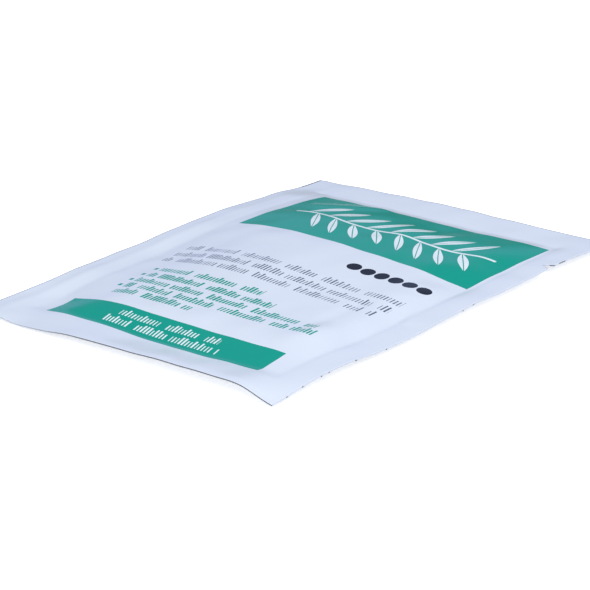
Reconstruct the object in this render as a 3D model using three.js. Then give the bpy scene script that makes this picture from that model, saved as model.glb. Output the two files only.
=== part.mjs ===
// A wet wipe in a flat sachet, heat-sealed on all four sides, lying face up on a table.
// Millimetres. X runs across the print, Y from its foot to its head, Z up from the table.

import * as THREE from "three";
import { LoftGeometry } from "three/addons/geometries/LoftGeometry.js";

// The cut sheet and the widths of its seals.
const WIDTH = 80;
const LENGTH = 105;
const WELDED_FILM = 0.25; // two laminated films sealed into one skin
const LEFT_SEAL = 7.9;
const RIGHT_SEAL = 7.2;
const FOOT_SEAL = 9.8;
const HEAD_SEAL = 8.9;

// The folded wipe parts the films: the upper one rises, the lower one sags until it meets the table.
const SEAL_HEIGHT = 1.5; // of the seals' printed face above the table, where nothing curls them
const LOFT = 1.3;
const WIPE_BULK = 5.5; // the most that the films would stand apart with no table under them
const CROWN_ACROSS = 0.2; // shares of the loft that the middle stands above the pouch's sides
const CROWN_ALONG = 0.1;
const CROWN_Y = 4;
const CROWN_REACH_X = 33;
const CROWN_REACH_Y = 43;
const LEFT_SHOULDER = 20;
const RIGHT_SHOULDER = 8;
const FOOT_SHOULDER = 13;
const HEAD_SHOULDER = 15;

// The welded margins curl: heights of the printed face along the cut edges. Each list is evenly
// spaced between two corners, and the curl fades out inwards over its reach.
const FOOT_LEFT_HEIGHT = 0.9;
const FOOT_RIGHT_HEIGHT = 1.05;
const HEAD_LEFT_HEIGHT = 1.15;
const HEAD_RIGHT_HEIGHT = 1.5;
const FOOT_HEIGHTS = [0.6, 1.5, 2.75, 3.4, 3.1, 3.25];
const HEAD_HEIGHTS = [1.7, 2.05, 1.75];
const LEFT_HEIGHTS = [1.6, 1.95, 2.1, 1.85];
const RIGHT_HEIGHTS = [2.35, 1.5, 1.6, 2.0, 2.0, 2.1];
const FOOT_CURL_REACH = 11;
const HEAD_CURL_REACH = 16;
const SIDE_CURL_REACH = 19;

// A low ridge runs along the middle of the left seal, and a groove where the films part.
const RIDGE = 0.25;
const RIDGE_WIDTH = 1.8;
const GROOVE = 0.1;
const FOOT_GROOVE = 0.08;
const GROOVE_WIDTH = 1.9;

// Soft swells and hollows: the wipe's own lie, and the places where handling pressed the film in.
const SWELLS = [
  { x: -4, y: 3, reach: 20, height: 1.6 },
  { x: -27, y: 19, reach: 19, height: 1.3 },
  { x: 26.5, y: -27, reach: 6.5, height: 0.9 },
  { x: 28, y: 12, reach: 5, height: -0.9 },
  { x: 2, y: -50, reach: 10.5, height: -0.9 },
  { x: -31, y: -38, reach: 8, height: -1.0 },
  { x: -30, y: -39, reach: 4, height: -0.3 },
  { x: -32.5, y: -9, reach: 6.5, height: -0.35 },
  { x: -33, y: 35, reach: 7, height: 0.3 },
  { x: -8, y: -9.5, reach: 7.5, height: 0.3 },
  { x: 14, y: -4.5, reach: 8.5, height: -0.3 },
  { x: 9, y: 39.5, reach: 6.5, height: -0.25 },
  { x: 14, y: -45, reach: 4.5, height: -0.25 },
  { x: 25.5, y: -53, reach: 5, height: -0.25 },
  { x: 32.5, y: -52, reach: 4, height: 0.35 },
  { x: -34, y: -52, reach: 5, height: 0.5 },
];

// Creases in the upper film, each a soft straight fold from one point to another.
const CREASES = [
  { from: [24.5, -8], to: [24.5, -27], width: 1.8, height: -0.25 },
  { from: [29, 0], to: [35, -8], width: 2, height: 0.25 },
  { from: [-12, 41], to: [-23, 33], width: 2.2, height: 0.25 },
];

// The right edge was cut a little wavy, and carries the tear notch near the head.
const EDGE_WAVE = 0.2;
const EDGE_WAVE_LENGTH = 31;
const NOTCH_FROM_HEAD = 20.3;
const NOTCH_DEPTH = 2.4;
const NOTCH_WIDTH = 2.2;

// Printed fields on the upper film, in from the edges of the sheet.
const PRINT_FROM_LEFT = 11.4;
const HEAD_BAND_FROM_HEAD = 11;
const HEAD_BAND_WIDTH = 61.2;
const HEAD_BAND_HEIGHT = 28.3;
const FOOT_BAND_FROM_FOOT = 9;
const FOOT_BAND_WIDTH = 56.8;
const FOOT_BAND_HEIGHT = 7.2;

const FILM_COLOUR = new THREE.Color(0xdde6f8);
const INK_COLOUR = new THREE.Color(0x11967f);

const LONGEST_STEP = 2.2; // between neighbouring lines of the loft
const CLOSEST_LINES = 0.05;

const LEFT = -WIDTH / 2;
const RIGHT = WIDTH / 2;
const FOOT = -LENGTH / 2;
const HEAD = LENGTH / 2;
const POUCH_LEFT = LEFT + LEFT_SEAL;
const POUCH_RIGHT = RIGHT - RIGHT_SEAL;
const POUCH_FOOT = FOOT + FOOT_SEAL;
const POUCH_HEAD = HEAD - HEAD_SEAL;
const NOTCH_Y = HEAD - NOTCH_FROM_HEAD;
const PRINT_LEFT = LEFT + PRINT_FROM_LEFT;

const HEAD_BAND = {
  left: PRINT_LEFT,
  right: PRINT_LEFT + HEAD_BAND_WIDTH,
  foot: HEAD - HEAD_BAND_FROM_HEAD - HEAD_BAND_HEIGHT,
  head: HEAD - HEAD_BAND_FROM_HEAD,
};
const FOOT_BAND = {
  left: PRINT_LEFT,
  right: PRINT_LEFT + FOOT_BAND_WIDTH,
  foot: FOOT + FOOT_BAND_FROM_FOOT,
  head: FOOT + FOOT_BAND_FROM_FOOT + FOOT_BAND_HEIGHT,
};

const { clamp, lerp, smoothstep } = THREE.MathUtils;

// 1 at no distance, and nearly nothing at twice the width.
const bell = (distance, width) => Math.exp(-((distance / width) ** 2));

// Leaves 0 steeply, and is level at 1 from the given reach on.
const rise = (distance, reach) => Math.sin((Math.PI / 2) * clamp(distance / reach, 0, 1));

// 1 at a cut edge, and 0 from the given reach on.
const fade = (distance, reach) => 1 - smoothstep(distance, 0, reach);

// A smooth curl above or below the seal's own height, through values at even steps along one side.
function curlAlong(heights, from, to) {
  const places = heights.map((_, i) => lerp(from, to, i / (heights.length - 1)));
  const curve = new THREE.CubicInterpolant(places, heights, 1);
  return (place) => curve.evaluate(place)[0] - SEAL_HEIGHT;
}

const footCurl = curlAlong([FOOT_LEFT_HEIGHT, ...FOOT_HEIGHTS, FOOT_RIGHT_HEIGHT], LEFT, RIGHT);
const headCurl = curlAlong([HEAD_LEFT_HEIGHT, ...HEAD_HEIGHTS, HEAD_RIGHT_HEIGHT], LEFT, RIGHT);
const leftCurl = curlAlong([FOOT_LEFT_HEIGHT, ...LEFT_HEIGHTS, HEAD_LEFT_HEIGHT], FOOT, HEAD);
const rightCurl = curlAlong([FOOT_RIGHT_HEIGHT, ...RIGHT_HEIGHTS, HEAD_RIGHT_HEIGHT], FOOT, HEAD);

// Height of the printed face as if no wipe lay inside: level, and bent to the four curled edges.
function sealedSheet(x, y) {
  const foot = fade(y - FOOT, FOOT_CURL_REACH);
  const head = fade(HEAD - y, HEAD_CURL_REACH);
  const left = fade(x - LEFT, SIDE_CURL_REACH);
  const right = fade(RIGHT - x, SIDE_CURL_REACH);
  const ends = foot * footCurl(x) + head * headCurl(x);
  const sides = left * leftCurl(y) + right * rightCurl(y);
  const footCorners = foot * (left * footCurl(LEFT) + right * footCurl(RIGHT));
  const headCorners = head * (left * headCurl(LEFT) + right * headCurl(RIGHT));
  return SEAL_HEIGHT + ends + sides - footCorners - headCorners;
}

// How far the films have parted: 0 on the seals, 1 well inside the pouch.
function parting(x, y) {
  const sides = rise(x - POUCH_LEFT, LEFT_SHOULDER) * rise(POUCH_RIGHT - x, RIGHT_SHOULDER);
  const ends = rise(y - POUCH_FOOT, FOOT_SHOULDER) * rise(POUCH_HEAD - y, HEAD_SHOULDER);
  return sides * ends;
}

function crown(x, y) {
  const across = CROWN_ACROSS * (1 - (x / CROWN_REACH_X) ** 2);
  const along = CROWN_ALONG * (1 - ((y - CROWN_Y) / CROWN_REACH_Y) ** 2);
  return 1 + across + along;
}

// 1 between two seal lines, and 0 from a groove's width outside them.
function between(place, from, to) {
  return rise(place - from + GROOVE_WIDTH, GROOVE_WIDTH) * rise(to + GROOVE_WIDTH - place, GROOVE_WIDTH);
}

// The ridge on the left seal and the groove round the pouch.
function sealLines(x, y) {
  const pastCorners = rise(y - FOOT, FOOT_SEAL) * rise(HEAD - y, HEAD_SEAL);
  const ridge = RIDGE * bell(x - LEFT - LEFT_SEAL / 2, RIDGE_WIDTH) * pastCorners;
  const sides = GROOVE * (bell(x - POUCH_LEFT, GROOVE_WIDTH) + bell(x - POUCH_RIGHT, GROOVE_WIDTH));
  const head = GROOVE * bell(y - POUCH_HEAD, GROOVE_WIDTH);
  const foot = FOOT_GROOVE * bell(y - POUCH_FOOT, GROOVE_WIDTH);
  const alongSides = sides * between(y, POUCH_FOOT, POUCH_HEAD);
  const alongEnds = (head + foot) * between(x, POUCH_LEFT, POUCH_RIGHT);
  return ridge - alongSides - alongEnds;
}

function swell({ x: centreX, y: centreY, reach, height }, x, y) {
  return height * bell(Math.hypot(x - centreX, y - centreY), reach);
}

// A straight fold that fades out past its two ends.
function crease({ from, to, width, height }, x, y) {
  const start = new THREE.Vector2(...from);
  const run = new THREE.Vector2(...to).sub(start);
  const place = new THREE.Vector2(x, y).sub(start);
  const along = clamp(place.dot(run) / run.lengthSq(), 0, 1);
  return height * bell(place.addScaledVector(run, -along).length(), width);
}

function reliefOf(shapes, form, x, y) {
  return shapes.reduce((height, shape) => height + form(shape, x, y), 0);
}

// The printed face. It never drops so low that the film under it would sink into the table.
function upperFilm(x, y) {
  const pillow = LOFT * parting(x, y) * crown(x, y);
  const handling = reliefOf(SWELLS, swell, x, y) + reliefOf(CREASES, crease, x, y);
  return Math.max(WELDED_FILM, sealedSheet(x, y) + pillow + sealLines(x, y) + handling);
}

// The lower film is welded to the upper one on the seals, and rests flat on the table under the wipe.
function lowerFilm(x, y) {
  return Math.max(0, upperFilm(x, y) - WELDED_FILM - WIPE_BULK * parting(x, y));
}

// The right cut edge: wavy, with a V notched into it.
function rightEdge(y) {
  const wave = EDGE_WAVE * Math.sin((2 * Math.PI * (y - FOOT)) / EDGE_WAVE_LENGTH);
  const notch = NOTCH_DEPTH * Math.max(0, 1 - Math.abs(y - NOTCH_Y) / (NOTCH_WIDTH / 2));
  return RIGHT - EDGE_WAVE + wave - notch;
}

// Places in rising order that hold every given line, with no gap longer than the longest step.
function linesThrough(lines) {
  const sorted = [...lines].sort((a, b) => a - b);
  const places = [sorted[0]];
  for (const line of sorted) {
    const from = places.at(-1);
    const steps = Math.ceil((line - from) / LONGEST_STEP);
    if (line - from < CLOSEST_LINES) continue;
    for (let i = 1; i <= steps; i++) places.push(lerp(from, line, i / steps));
  }
  return places;
}

const ACROSS = linesThrough([
  LEFT,
  POUCH_LEFT,
  POUCH_RIGHT,
  RIGHT,
  PRINT_LEFT,
  HEAD_BAND.right,
  FOOT_BAND.right,
]);
const ALONG = linesThrough([
  FOOT,
  POUCH_FOOT,
  POUCH_HEAD,
  HEAD,
  HEAD_BAND.foot,
  HEAD_BAND.head,
  FOOT_BAND.foot,
  FOOT_BAND.head,
  NOTCH_Y - NOTCH_WIDTH / 2,
  NOTCH_Y,
  NOTCH_Y + NOTCH_WIDTH / 2,
]);

// One cross-section: back along the lower film, then out along the upper one. The right seal is
// squeezed to end on its cut edge.
function section(y) {
  const squeeze = (rightEdge(y) - POUCH_RIGHT) / (RIGHT - POUCH_RIGHT);
  const places = ACROSS.map((x) => (x > POUCH_RIGHT ? lerp(POUCH_RIGHT, x, squeeze) : x));
  const lower = places.map((x) => new THREE.Vector3(x, y, lowerFilm(x, y)));
  const upper = places.map((x) => new THREE.Vector3(x, y, upperFilm(x, y)));
  return [...lower.reverse(), ...upper];
}

const isInside = (band, x, y) =>
  x > band.left && x < band.right && y > band.foot && y < band.head;

// Colours each facet: ink on the upper film's two bands, bare film elsewhere.
function print(geometry) {
  const facets = geometry.toNonIndexed();
  const points = facets.getAttribute("position");
  const corner = new THREE.Vector3();
  const colours = [];
  for (let first = 0; first < points.count; first += 3) {
    const middle = new THREE.Vector3();
    for (let i = 0; i < 3; i++) {
      middle.addScaledVector(corner.fromBufferAttribute(points, first + i), 1 / 3);
    }
    const { x, y, z } = middle;
    const isUpper = z > (lowerFilm(x, y) + upperFilm(x, y)) / 2;
    const isInked = isInside(HEAD_BAND, x, y) || isInside(FOOT_BAND, x, y);
    const colour = isUpper && isInked ? INK_COLOUR : FILM_COLOUR;
    for (let i = 0; i < 3; i++) colours.push(...colour.toArray());
  }
  facets.setAttribute("color", new THREE.Float32BufferAttribute(colours, 3));
  facets.computeVertexNormals();
  return facets;
}

function sachet() {
  const skin = new LoftGeometry(ALONG.map(section), { capStart: true, capEnd: true });
  const film = new THREE.MeshStandardMaterial({
    vertexColors: true,
    roughness: 0.38,
    metalness: 0,
  });
  const mesh = new THREE.Mesh(print(skin), film);
  mesh.name = "sachet";
  return mesh;
}

const pack = new THREE.Group();
pack.add(sachet());

export default pack;
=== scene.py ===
# The looks of a wet wipe sachet: white film, teal print and a foil cut edge, on a white table.
# Sizes are in millimetres and are turned into metres by MM. X runs across the print, Y from its
# foot to its head, Z up from the table, with the sachet's middle at x = y = 0.

import math

import bmesh
import bpy
import numpy as np
from mathutils import Matrix, Vector


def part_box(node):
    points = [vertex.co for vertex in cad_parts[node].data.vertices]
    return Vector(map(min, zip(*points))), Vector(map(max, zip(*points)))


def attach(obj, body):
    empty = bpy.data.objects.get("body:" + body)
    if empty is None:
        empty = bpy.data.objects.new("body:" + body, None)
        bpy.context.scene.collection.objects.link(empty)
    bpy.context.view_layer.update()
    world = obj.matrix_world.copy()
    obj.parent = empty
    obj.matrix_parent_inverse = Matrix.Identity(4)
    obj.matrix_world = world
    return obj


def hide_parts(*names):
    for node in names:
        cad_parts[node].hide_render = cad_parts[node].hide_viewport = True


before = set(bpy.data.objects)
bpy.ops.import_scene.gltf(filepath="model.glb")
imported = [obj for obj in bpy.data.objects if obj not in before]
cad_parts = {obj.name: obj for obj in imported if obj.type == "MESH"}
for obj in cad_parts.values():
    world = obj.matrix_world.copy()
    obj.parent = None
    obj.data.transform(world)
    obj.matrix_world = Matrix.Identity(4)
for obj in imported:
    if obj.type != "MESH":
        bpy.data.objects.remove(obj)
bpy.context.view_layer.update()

MM = 0.001
LOW, HIGH = (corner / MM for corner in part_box("sachet"))
LEFT = LOW.x
FOOT = LOW.y
HEAD = HIGH.y

# The camera stands at the photograph's viewing angle.
CAMERA_AZIMUTH = 42.36  # degrees, from the sachet's foot towards its right edge
CAMERA_ELEVATION = 20.25
CAMERA_ROLL = -2.14
CAMERA_DISTANCE = 404.93
CAMERA_TARGET = (4.54, -6.76, 0)
CAMERA_LENS = 123.05
CAMERA_SENSOR = 36
CAMERA_CLIP = 10

# The sky, as gloss mirrors it.
SKY_UPWARDS = (-0.37, -0.33, 1)  # leans to the left of the camera's view
SKY_LEVELS = ((0.04, 0.1), (0.26, 0.72), (0.45, 0.32))  # height, and the level there
SKY_TINT = (0.44, 0.56, 1, 1)
SKY_LIGHT = 0.46

# The one lamp is a square softbox.
KEY_AZIMUTH = 52
KEY_ELEVATION = 62
KEY_DISTANCE = 600
KEY_SIZE = 600
KEY_POWER = 3.3  # watts

# The table glows for the camera alone, which turns it white and leaves the shadow faint.
TABLE_SIZE = 3000
TABLE_GAP = 0.05
TABLE_GLOW = 0.65

# The sachet's mesh.
SAME_LINE = 0.02  # CAD points nearer than this lie on one line of the loft
FINEST_STEP = 0.55
THIN = 0.35  # where the two films are closer than this, they are welded
RIPPLES = 24
RIPPLE_LENGTHS = (6, 16)
RIPPLE_HEIGHT = 0.1
RIPPLE_SEED = 4

# The left seal's ridge and groove fade out towards the head.
FADE_FROM = -5
FADE_TO = 30
HEAD_SEAL = 8.9
LEFT_SEAL = 7.9
RIDGE_HEIGHT = 0.22
RIDGE_WIDTH = 1.8
GROOVE_DEPTH = 0.12
GROOVE_WIDTH = 1.9

# The knife left small burrs on the right edge, and the foil shows there and by the notch. A thin dark
# strip in the foil's colour runs along the top face's left edge towards the head.
BURRS_FROM_FOOT = (3.8, 7.9, 13, 15.2, 23, 31.5, 55, 58.4)
BURR_LENGTH = 0.4
BURR_REACH = 0.25
FOIL_BY_NOTCH = ((85.4, 86.1), (87.5, 89.6))  # from the foot
DARK_STRIP_AT_LEFT = (98, 104.6)  # from the foot
DARK_STRIP_WIDTH = 0.55
FOIL_FADES_IN = (9, 34)  # along the foot, from the left
FAINTEST_FOIL = 0.2  # share of foil where it fades out
FOOT_RIM = 0.1  # nearer to the foot than this, the cut edge is the foot's

# Colours, as sRGB bytes.
FILM_COLOUR = (216, 226, 244)
INK_COLOUR = (2, 153, 137)
DARK_INK_COLOUR = (26, 31, 40)
GREY_INK_COLOUR = (90, 102, 124)
WHITE_INK_COLOUR = (222, 236, 246)
FOIL_COLOUR = (108, 114, 126)
EDGE_COLOUR = (212, 221, 240)
TABLE_COLOUR = (250, 250, 250)
MIRRORED_TABLE_COLOUR = (210, 220, 247)  # as gloss sees it

# The finish of the film and of its cut edge: a bump is a strength and a height in metres.
FILM_IOR = 1.45
DULLEST = 0.97  # of the film's colour
PATCHES = 60  # noise cells in a metre
EDGE_PATCHES = 400
GRAINS = 900
PATCH_SPREAD = (0.3, 0.7)  # the noise between which roughness changes
FILM_ROUGHNESS = (0.17, 0.25)
EDGE_ROUGHNESS = (0.35, 0.5)
PATCH_BUMP = (0.5, 0.3 * MM)
GRAIN_BUMP = (0.2, 0.02 * MM)
EDGE_BUMP = (0.3, 0.05 * MM)

# Printed fields, as left, right, foot and head.
HEAD_BAND = (-29.1, 32.7, 12.9, 41.5)
FOOT_BAND = (-28.6, 28.5, -43.8, -36)

# Lines of stand-in marks, as foot, left and right.
GREY_LINES = [(-5, -28, 29.9), (-8.8, -28, 29.9), (-12.3, -28, 28.6)]
TEAL_LINES = [
    (-18.2, -22.6, 5.4),
    (-21.9, -22.6, 11.4),
    (-25.3, -22.6, 26),
    (-28.5, -22.6, 27.7),
    (-31.7, -22.6, -1.2),
]
WHITE_LINES = [(-39.3, -12.5, 14), (-42, -14.5, 16.3)]
MARKS_IN_WORD = 12
WORD_GAP = 1.7  # marks

# Height and pitch of the marks, and the thinnest mark's half width in pitches.
GREY_MARKS = (1.8, 0.8, 0.11)
TEAL_MARKS = (1.8, 0.85, 0.225)
WHITE_MARKS = (1.5, 0.85, 0.13)
THICKER = 0.15  # pitches that chance adds to a mark's half width
TALLER = 0.35  # of its height, on the tall marks
TALL_FROM = 0.7  # chance
ROW_CHANGES = 7.3  # chance's step from row to row

# A square bullet before each teal line but the last.
BULLETS_X = -24.6
BULLETS_RISE = 0.4
BULLET_SIZE = 1

# A row of round dots under the head band.
DOTS = 6
DOTS_LEFT = 8.9
DOTS_RIGHT = 30.4
DOTS_Y = 4.6
DOT_SIZE = 3.2

# A leafy sprig on the head band: leaves lean forwards on both sides of a wavy stem.
SPRIG_LEFT = -24
SPRIG_RIGHT = 29.5
SPRIG_Y = 26.2
STEM_WIDTH = 0.7
STEM_WAVE = 0.8
STEM_WAVE_LENGTH = 24
LEAVES = 8
LEAF_LENGTH = 8.8
LEAF_WIDTH = 2.5
LEAF_LEAN = 0.7
BARE_STEM = 0.25  # steps, past the tip of the last leaf
VEIN_WIDTH = 0.25


def linear(colour):
    """A linear RGBA colour from sRGB bytes."""
    shares = np.array(colour) / 255
    rgb = np.where(shares <= 0.04045, shares / 12.92, ((shares + 0.055) / 1.055) ** 2.4)
    return (*rgb.tolist(), 1.0)


class Shader:
    """Makes the nodes of one material, with short names for the ones that come up often."""

    def __init__(self, tree):
        self.tree = tree

    def node(self, kind, **settings):
        made = self.tree.nodes.new(kind)
        for name, value in settings.items():
            setattr(made, name, value)
        return made

    def feed(self, socket, value):
        if isinstance(value, bpy.types.NodeSocket):
            self.tree.links.new(value, socket)
        else:
            socket.default_value = value

    def math(self, operation, *values):
        made = self.node("ShaderNodeMath", operation=operation)
        for socket, value in zip(made.inputs, values):
            self.feed(socket, value)
        return made.outputs[0]

    def within(self, value, low, high):
        return self.math("COMPARE", value, (low + high) / 2, (high - low) / 2)

    def both(self, first, second):
        return self.math("MULTIPLY", first, second)

    def from_middle(self, place):
        """How far past the middle of its own step a place lies."""
        return self.math("SUBTRACT", self.math("FRACT", place), 0.5)

    def spread(self, value, low, high, new_low, new_high):
        made = self.node("ShaderNodeMapRange", interpolation_type="SMOOTHSTEP")
        for socket, number in zip(made.inputs, (value, low, high, new_low, new_high)):
            self.feed(socket, number)
        return made.outputs[0]

    def ramp(self, value, stops):
        made = self.node("ShaderNodeValToRGB")
        made.color_ramp.interpolation = "EASE"
        while len(made.color_ramp.elements) < len(stops):
            made.color_ramp.elements.new(1.0)
        for element, (place, level) in zip(made.color_ramp.elements, stops):
            element.position = place
            element.color = (level, level, level, 1)
        self.feed(made.inputs["Fac"], value)
        return made.outputs["Color"]

    def mix(self, share, first, second):
        made = self.node("ShaderNodeMix", data_type="RGBA")
        self.feed(made.inputs["Factor"], share)
        self.feed(made.inputs["A"], first)
        self.feed(made.inputs["B"], second)
        return made.outputs["Result"]

    def noise(self, place, scale):
        made = self.node("ShaderNodeTexNoise")
        self.feed(made.inputs["Vector"], place)
        self.feed(made.inputs["Scale"], scale)
        return made.outputs["Fac"]

    def bump(self, height, strength, distance, normal=None):
        made = self.node("ShaderNodeBump")
        self.feed(made.inputs["Height"], height)
        self.feed(made.inputs["Strength"], strength)
        self.feed(made.inputs["Distance"], distance)
        if normal:
            self.feed(made.inputs["Normal"], normal)
        return made.outputs["Normal"]


def material(name):
    """A new material, its shader and its Principled BSDF."""
    made = bpy.data.materials.new(name)
    made.use_nodes = True
    return made, Shader(made.node_tree), made.node_tree.nodes["Principled BSDF"]


def page(shader):
    """The place on the sachet: the vector, and x and y in millimetres."""
    place = shader.node("ShaderNodeTexCoord").outputs["Object"]
    parts = shader.node("ShaderNodeSeparateXYZ")
    shader.feed(parts.inputs[0], place)
    x = shader.math("DIVIDE", parts.outputs["X"], MM)
    y = shader.math("DIVIDE", parts.outputs["Y"], MM)
    return place, x, y


def field(shader, x, y, band):
    left, right, foot, head = band
    return shader.both(shader.within(x, left, right), shader.within(y, foot, head))


def marks(shader, x, y, lines, height, pitch, weight):
    """Rows of plain upright marks, grouped like words, that stand in for lines of print."""
    inside = above = row = 0.0
    for i, (foot, left, right) in enumerate(lines):
        here = field(shader, x, y, (left, right, foot, foot + (1 + TALLER) * height))
        inside = shader.math("ADD", inside, here)
        above = shader.math("MULTIPLY_ADD", here, shader.math("SUBTRACT", y, foot), above)
        row = shader.math("MULTIPLY_ADD", here, ROW_CHANGES * i, row)
    place = shader.math("DIVIDE", x, pitch)
    cell = shader.math("ADD", shader.math("FLOOR", place), row)
    chance = shader.node("ShaderNodeTexWhiteNoise", noise_dimensions="1D")
    shader.feed(chance.inputs["W"], cell)
    words = shader.node("ShaderNodeTexVoronoi", voronoi_dimensions="1D", feature="DISTANCE_TO_EDGE")
    shader.feed(words.inputs["W"], shader.math("DIVIDE", cell, MARKS_IN_WORD))
    shader.feed(words.inputs["Scale"], 1.0)
    off_centre = shader.math("ABSOLUTE", shader.from_middle(place))
    half_width = shader.math("MULTIPLY_ADD", chance.outputs[0], THICKER, weight)
    stroke = shader.math("LESS_THAN", off_centre, half_width)
    word = shader.math("GREATER_THAN", words.outputs["Distance"], WORD_GAP / 2 / MARKS_IN_WORD)
    tall = shader.math("GREATER_THAN", chance.outputs[0], TALL_FROM)
    top = shader.math("MULTIPLY_ADD", tall, TALLER * height, height)
    low_enough = shader.math("LESS_THAN", above, top)
    return shader.both(shader.both(inside, low_enough), shader.both(stroke, word))


def bullets(shader, x, y):
    rows = 0.0
    for line, _, _ in TEAL_LINES[:-1]:
        foot = line + BULLETS_RISE
        band = (BULLETS_X, BULLETS_X + BULLET_SIZE, foot, foot + BULLET_SIZE)
        rows = shader.math("ADD", rows, field(shader, x, y, band))
    return rows


def dots(shader, x, y):
    pitch = (DOTS_RIGHT - DOTS_LEFT) / DOTS
    place = shader.math("DIVIDE", shader.math("SUBTRACT", x, DOTS_LEFT), pitch)
    inside = shader.within(place, 0, DOTS)
    across = shader.math("MULTIPLY", shader.from_middle(place), pitch)
    up = shader.math("SUBTRACT", y, DOTS_Y)
    reach = shader.math("ADD", shader.both(across, across), shader.both(up, up))
    return shader.both(inside, shader.math("LESS_THAN", reach, (DOT_SIZE / 2) ** 2))


def sprig(shader, x, y):
    """A stem with a leaf above and below it at each step; the lower ones sit half a step along."""
    pitch = (SPRIG_RIGHT - SPRIG_LEFT - LEAF_LEAN * LEAF_LENGTH) / (LEAVES + BARE_STEM)
    turn = shader.math("MULTIPLY", x, 2 * math.pi / STEM_WAVE_LENGTH)
    stem_y = shader.math("MULTIPLY_ADD", shader.math("SINE", turn), STEM_WAVE, SPRIG_Y)
    height = shader.math("SUBTRACT", y, stem_y)
    away = shader.math("ABSOLUTE", height)
    share = shader.math("DIVIDE", away, LEAF_LENGTH)
    root = shader.math("MULTIPLY_ADD", away, -LEAF_LEAN, x)
    place = shader.math("DIVIDE", shader.math("SUBTRACT", root, SPRIG_LEFT), pitch)
    place = shader.math("MULTIPLY_ADD", shader.math("LESS_THAN", height, 0.0), -0.5, place)
    off_vein = shader.math("ABSOLUTE", shader.math("MULTIPLY", shader.from_middle(place), pitch))
    bow = shader.math("MULTIPLY", shader.math("SUBTRACT", 1.0, share), share)
    in_leaf = shader.math("LESS_THAN", off_vein, shader.math("MULTIPLY", bow, 2 * LEAF_WIDTH))
    past_vein = shader.math("GREATER_THAN", off_vein, VEIN_WIDTH / 2)
    in_row = shader.within(place, 0, LEAVES)
    leaf = shader.both(shader.both(in_leaf, past_vein), in_row)
    near_stem = shader.math("LESS_THAN", away, STEM_WIDTH / 2)
    stem = shader.both(near_stem, shader.within(x, SPRIG_LEFT, SPRIG_RIGHT))
    return shader.math("MAXIMUM", leaf, stem)


def plain_film(shader, surface, place):
    """Satin gloss and the fine unevenness of laminated film. Gives its colour before any print."""
    patches = shader.noise(place, PATCHES)
    grain = shader.noise(place, GRAINS)
    surface.inputs["IOR"].default_value = FILM_IOR
    roughness = shader.spread(patches, *PATCH_SPREAD, *FILM_ROUGHNESS)
    shader.feed(surface.inputs["Roughness"], roughness)
    soft = shader.bump(patches, *PATCH_BUMP)
    shader.feed(surface.inputs["Normal"], shader.bump(grain, *GRAIN_BUMP, soft))
    dull = [DULLEST * share for share in linear(FILM_COLOUR)[:3]] + [1.0]
    return shader.mix(patches, dull, linear(FILM_COLOUR))


def printed_film():
    made, shader, surface = material("printed_film")
    place, x, y = page(shader)
    colour = plain_film(shader, surface, place)
    bands = shader.math("MAXIMUM", field(shader, x, y, HEAD_BAND), field(shader, x, y, FOOT_BAND))
    teal_lines = marks(shader, x, y, TEAL_LINES, *TEAL_MARKS)
    teal = shader.math("MAXIMUM", teal_lines, bullets(shader, x, y))
    grey = marks(shader, x, y, GREY_LINES, *GREY_MARKS)
    white_lines = marks(shader, x, y, WHITE_LINES, *WHITE_MARKS)
    white = shader.math("MAXIMUM", sprig(shader, x, y), white_lines)
    colour = shader.mix(grey, colour, linear(GREY_INK_COLOUR))
    colour = shader.mix(dots(shader, x, y), colour, linear(DARK_INK_COLOUR))
    colour = shader.mix(shader.math("MAXIMUM", bands, teal), colour, linear(INK_COLOUR))
    colour = shader.mix(white, colour, linear(WHITE_INK_COLOUR))
    # A thin dark strip in the foil's colour along the top face's left edge, near the head.
    dark_strip = (LEFT, LEFT + DARK_STRIP_WIDTH, FOOT + DARK_STRIP_AT_LEFT[0], FOOT + DARK_STRIP_AT_LEFT[1])
    colour = shader.mix(field(shader, x, y, dark_strip), colour, linear(FOIL_COLOUR))
    shader.feed(surface.inputs["Base Color"], colour)
    return made


def back_film():
    made, shader, surface = material("back_film")
    place, _, _ = page(shader)
    shader.feed(surface.inputs["Base Color"], plain_film(shader, surface, place))
    return made


def foil_on_right(shader, x, y):
    """1 at the burrs and by the notch, on the right cut edge."""
    half = BURR_LENGTH / 2
    spans = [(burr - half, burr + half) for burr in BURRS_FROM_FOOT] + list(FOIL_BY_NOTCH)
    shown = 0.0
    for start, end in spans:
        shown = shader.math("ADD", shown, shader.within(y, FOOT + start, FOOT + end))
    return shader.both(shown, shader.math("GREATER_THAN", x, 0.0))


def cut_edge():
    """The foil layer shows as a dark line along the foot, and in spots on the right edge."""
    made, shader, surface = material("cut_edge")
    place, x, y = page(shader)
    patches = shader.noise(place, EDGE_PATCHES)
    fade_from, fade_to = FOIL_FADES_IN
    fade_in = shader.spread(x, LEFT + fade_from, LEFT + fade_to, FAINTEST_FOIL, 1.0)
    foot = shader.both(shader.math("LESS_THAN", y, FOOT + FOOT_RIM), fade_in)
    foil = shader.math("MAXIMUM", foot, foil_on_right(shader, x, y))
    edge = shader.mix(patches, linear(EDGE_COLOUR), linear(FILM_COLOUR))
    shader.feed(surface.inputs["Base Color"], shader.mix(foil, edge, linear(FOIL_COLOUR)))
    roughness = shader.spread(patches, *PATCH_SPREAD, *EDGE_ROUGHNESS)
    shader.feed(surface.inputs["Roughness"], roughness)
    shader.feed(surface.inputs["Normal"], shader.bump(patches, *EDGE_BUMP))
    return made


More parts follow.
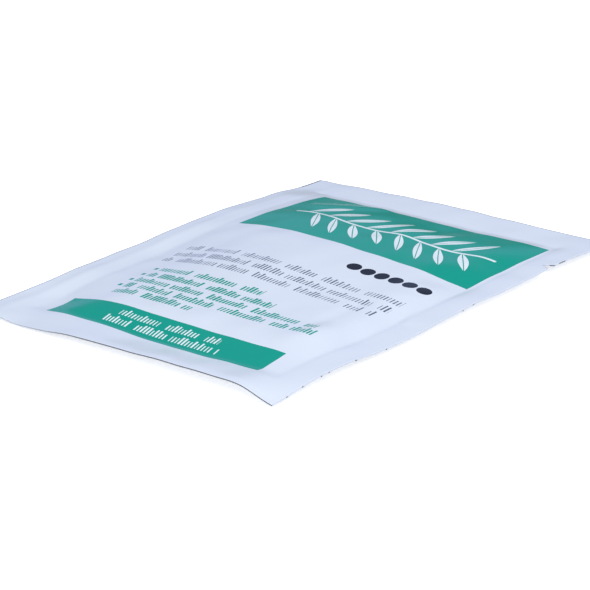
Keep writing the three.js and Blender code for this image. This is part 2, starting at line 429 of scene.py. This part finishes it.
def cad_grid():
    """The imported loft's points in millimetres, as [row, column, face, xyz]: rows from foot to head,
    columns from left to right, and the lower face before the upper one."""
    shell = bmesh.new()
    shell.from_mesh(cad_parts["sachet"].data)
    bmesh.ops.remove_doubles(shell, verts=shell.verts, dist=SAME_LINE * MM / 2)
    points = np.array([vertex.co[:] for vertex in shell.verts]) / MM
    shell.free()
    points = points[np.argsort(points[:, 1])]
    rows = 1 + np.count_nonzero(np.diff(points[:, 1]) > SAME_LINE)
    grid = points.reshape(rows, -1, 3)
    grid = np.take_along_axis(grid, np.argsort(grid[..., :1], axis=1), axis=1)
    pairs = grid.reshape(rows, -1, 2, 3)
    return np.take_along_axis(pairs, np.argsort(pairs[..., 2:], axis=2), axis=2)


def finer(lines):
    """The given lines with more between them, so that no gap is wider than the finest step."""
    spans = [
        np.linspace(a, b, math.ceil((b - a) / FINEST_STEP), endpoint=False)
        for a, b in zip(lines, lines[1:])
    ]
    return np.append(np.concatenate(spans), lines[-1])


def straight(values, lines, places):
    """Values at the places, straight between the lines, along the first axis."""
    i = np.clip(np.searchsorted(lines, places, side="right") - 1, 0, len(lines) - 2)
    t = ((places - lines[i]) / (lines[i + 1] - lines[i])).reshape(-1, 1)
    return values[i] * (1 - t) + values[i + 1] * t


def smooth(values, lines, places):
    """Values at the places on a smooth curve through the lines, along the first axis."""
    slopes = np.gradient(values, lines, axis=0)
    i = np.clip(np.searchsorted(lines, places, side="right") - 1, 0, len(lines) - 2)
    gap = (lines[i + 1] - lines[i]).reshape(-1, 1)
    t = (places - lines[i]).reshape(-1, 1) / gap
    ends = (2 * t**3 - 3 * t**2 + 1) * values[i] + (3 * t**2 - 2 * t**3) * values[i + 1]
    return ends + gap * ((t**3 - 2 * t**2 + t) * slopes[i] + (t**3 - t**2) * slopes[i + 1])


def fine_faces():
    """x, y and the heights of the lower and the upper face, each as [row, column]."""
    grid = cad_grid()
    across = grid[:, :, 1, 0].mean(axis=0)
    along = grid[:, 0, 1, 1]
    columns = finer(across)
    rows = finer(along)

    def read(curve_across, curve_along, values):
        wide = curve_across(values.T, across, columns).T
        return curve_along(wide, along, rows)

    x = read(straight, straight, grid[:, :, 1, 0])
    y = np.repeat(rows[:, None], len(columns), axis=1)
    lower = read(smooth, smooth, grid[:, :, 0, 2])
    upper = read(smooth, smooth, grid[:, :, 1, 2])
    return x, y, lower, upper


def burrs(x, y):
    """How far the burrs push the right cut edge out."""
    half = BURR_LENGTH / 2
    reach = sum(np.exp(-(((y - FOOT - burr) / half) ** 2)) for burr in BURRS_FROM_FOOT)
    return BURR_REACH * reach * (x == x.max(axis=1, keepdims=True))


def crinkle(x, y):
    """Height of the film's own slight unevenness: soft ripples in many directions."""
    chance = np.random.default_rng(RIPPLE_SEED)
    height = np.zeros_like(x)
    for _ in range(RIPPLES):
        heading = chance.uniform(0, math.pi)
        length = chance.uniform(*RIPPLE_LENGTHS)
        phase = chance.uniform(0, 2 * math.pi)
        along = x * math.cos(heading) + y * math.sin(heading)
        height += length * np.sin(2 * math.pi * along / length + phase)
    return RIPPLE_HEIGHT * height / (RIPPLES**0.5 * RIPPLE_LENGTHS[1])


def calmer_seal(x, y):
    """What levels the left seal's ridge and groove towards the head."""
    share = np.clip((y - FADE_FROM) / (FADE_TO - FADE_FROM), 0, 1)
    past_corner = np.sin(math.pi / 2 * np.clip((HEAD - y) / HEAD_SEAL, 0, 1))
    from_ridge = (x - LEFT - LEFT_SEAL / 2) / RIDGE_WIDTH
    from_groove = (x - LEFT - LEFT_SEAL) / GROOVE_WIDTH
    ridge = RIDGE_HEIGHT * np.exp(-(from_ridge**2))
    groove = GROOVE_DEPTH * np.exp(-(from_groove**2)) * (y < HEAD - HEAD_SEAL)
    return share**2 * (3 - 2 * share) * past_corner * (groove - ridge)


def closed_mesh(name, x, y, lower, upper):
    """One closed skin: the upper face, the lower face, and the cut edge all round."""
    rows, columns = x.shape
    points = np.concatenate([
        np.stack([x, y, upper], axis=-1).reshape(-1, 3),
        np.stack([x, y, lower], axis=-1).reshape(-1, 3),
    ])
    index = np.arange(rows * columns).reshape(rows, columns)
    quads = np.stack([index[:-1, :-1], index[:-1, 1:], index[1:, 1:], index[1:, :-1]], axis=-1)
    top = quads.reshape(-1, 4)
    under = top[:, ::-1] + rows * columns
    rim = np.concatenate([index[0], index[1:, -1], index[-1, -2::-1], index[-2:0:-1, 0]])
    after = np.roll(rim, -1)
    side = np.stack([rim, rim + rows * columns, after + rows * columns, after], axis=-1)
    mesh = bpy.data.meshes.new(name)
    mesh.from_pydata((points * MM).tolist(), [], np.concatenate([top, under, side]).tolist())
    kinds = np.repeat([0, 1, 2], [len(top), len(under), len(side)])
    mesh.polygons.foreach_set("material_index", kinds)
    mesh.polygons.foreach_set("use_smooth", kinds < 2)
    mesh.update()
    return mesh


def sachet():
    x, y, lower, upper = fine_faces()
    x = x + burrs(x, y)
    relief = crinkle(x, y) + calmer_seal(x, y)
    upper = upper + relief
    lower = np.maximum(0, lower + relief * (upper - lower < THIN))
    mesh = closed_mesh("film_skin", x, y, lower, upper)
    for finish in (printed_film(), back_film(), cut_edge()):
        mesh.materials.append(finish)
    piece = bpy.data.objects.new("film_skin", mesh)
    bpy.context.scene.collection.objects.link(piece)
    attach(piece, "root")
    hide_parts("sachet")


def direction(azimuth, elevation):
    """From the object towards a camera or lamp: azimuth in degrees from the foot to the right."""
    turn = math.radians(azimuth)
    rise = math.radians(elevation)
    level = math.cos(rise)
    return Vector((math.sin(turn) * level, -math.cos(turn) * level, math.sin(rise)))


def table():
    made, shader, surface = material("table_top")
    rays = shader.node("ShaderNodeLightPath")
    plain = linear(TABLE_COLOUR)
    colour = shader.mix(rays.outputs["Is Glossy Ray"], plain, linear(MIRRORED_TABLE_COLOUR))
    shader.feed(surface.inputs["Base Color"], colour)
    surface.inputs["Roughness"].default_value = 1.0
    surface.inputs["Specular IOR Level"].default_value = 0.0
    surface.inputs["Emission Color"].default_value = (1, 1, 1, 1)
    seen = shader.math("MULTIPLY", rays.outputs["Is Camera Ray"], TABLE_GLOW)
    shader.feed(surface.inputs["Emission Strength"], seen)
    half = TABLE_SIZE / 2 * MM
    corners = [(-half, -half), (half, -half), (half, half), (-half, half)]
    mesh = bpy.data.meshes.new("table")
    mesh.from_pydata([(x, y, 0) for x, y in corners], [], [(0, 1, 2, 3)])
    mesh.materials.append(made)
    floor = bpy.data.objects.new("table", mesh)
    floor.location.z = (LOW.z - TABLE_GAP) * MM
    bpy.context.scene.collection.objects.link(floor)


def softbox():
    lamp = bpy.data.lights.new("key", "AREA")
    lamp.shape = "SQUARE"
    lamp.size = KEY_SIZE * MM
    lamp.energy = KEY_POWER
    outwards = direction(KEY_AZIMUTH, KEY_ELEVATION)
    holder = bpy.data.objects.new("key", lamp)
    holder.location = outwards * KEY_DISTANCE * MM
    holder.rotation_euler = outwards.to_track_quat("Z", "Y").to_euler()
    bpy.context.scene.collection.objects.link(holder)


def sky():
    """White to the camera, and a soft even light. Gloss sees it dim at the horizon and brighter
    from a little above it, sooner on the left."""
    world = bpy.data.worlds.new("studio")
    bpy.context.scene.world = world
    world.use_nodes = True
    shader = Shader(world.node_tree)
    background = world.node_tree.nodes["Background"]
    rays = shader.node("ShaderNodeLightPath")
    heading = shader.node("ShaderNodeTexCoord").outputs["Generated"]
    tilt = shader.node("ShaderNodeVectorMath", operation="DOT_PRODUCT")
    shader.feed(tilt.inputs[0], heading)
    shader.feed(tilt.inputs[1], SKY_UPWARDS)
    gloss = shader.ramp(tilt.outputs["Value"], SKY_LEVELS)
    glossy = rays.outputs["Is Glossy Ray"]
    mirrored = shader.math("MAXIMUM", glossy, rays.outputs["Is Transmission Ray"])
    level = shader.math("ADD", rays.outputs["Is Camera Ray"], shader.both(mirrored, gloss))
    soft = shader.math("MULTIPLY", rays.outputs["Is Diffuse Ray"], SKY_LIGHT)
    shader.feed(background.inputs["Color"], shader.mix(mirrored, (1, 1, 1, 1), SKY_TINT))
    shader.feed(background.inputs["Strength"], shader.math("ADD", level, soft))


def camera():
    turn = math.radians(CAMERA_AZIMUTH)
    back = direction(CAMERA_AZIMUTH, CAMERA_ELEVATION)
    right = Vector((math.cos(turn), math.sin(turn), 0))
    level = Matrix((right, back.cross(right), back)).transposed().to_4x4()
    roll = Matrix.Rotation(math.radians(CAMERA_ROLL), 4, "Z")
    lens = bpy.data.cameras.new("camera")
    lens.lens = CAMERA_LENS
    lens.sensor_width = CAMERA_SENSOR
    lens.clip_start = CAMERA_CLIP * MM
    viewer = bpy.data.objects.new("camera", lens)
    place = (Vector(CAMERA_TARGET) + back * CAMERA_DISTANCE) * MM
    viewer.matrix_world = Matrix.Translation(place) @ level @ roll
    bpy.context.scene.collection.objects.link(viewer)
    bpy.context.scene.camera = viewer


camera()
sky()
softbox()
table()
sachet()

bpy.context.scene.view_settings.view_transform = "Standard"
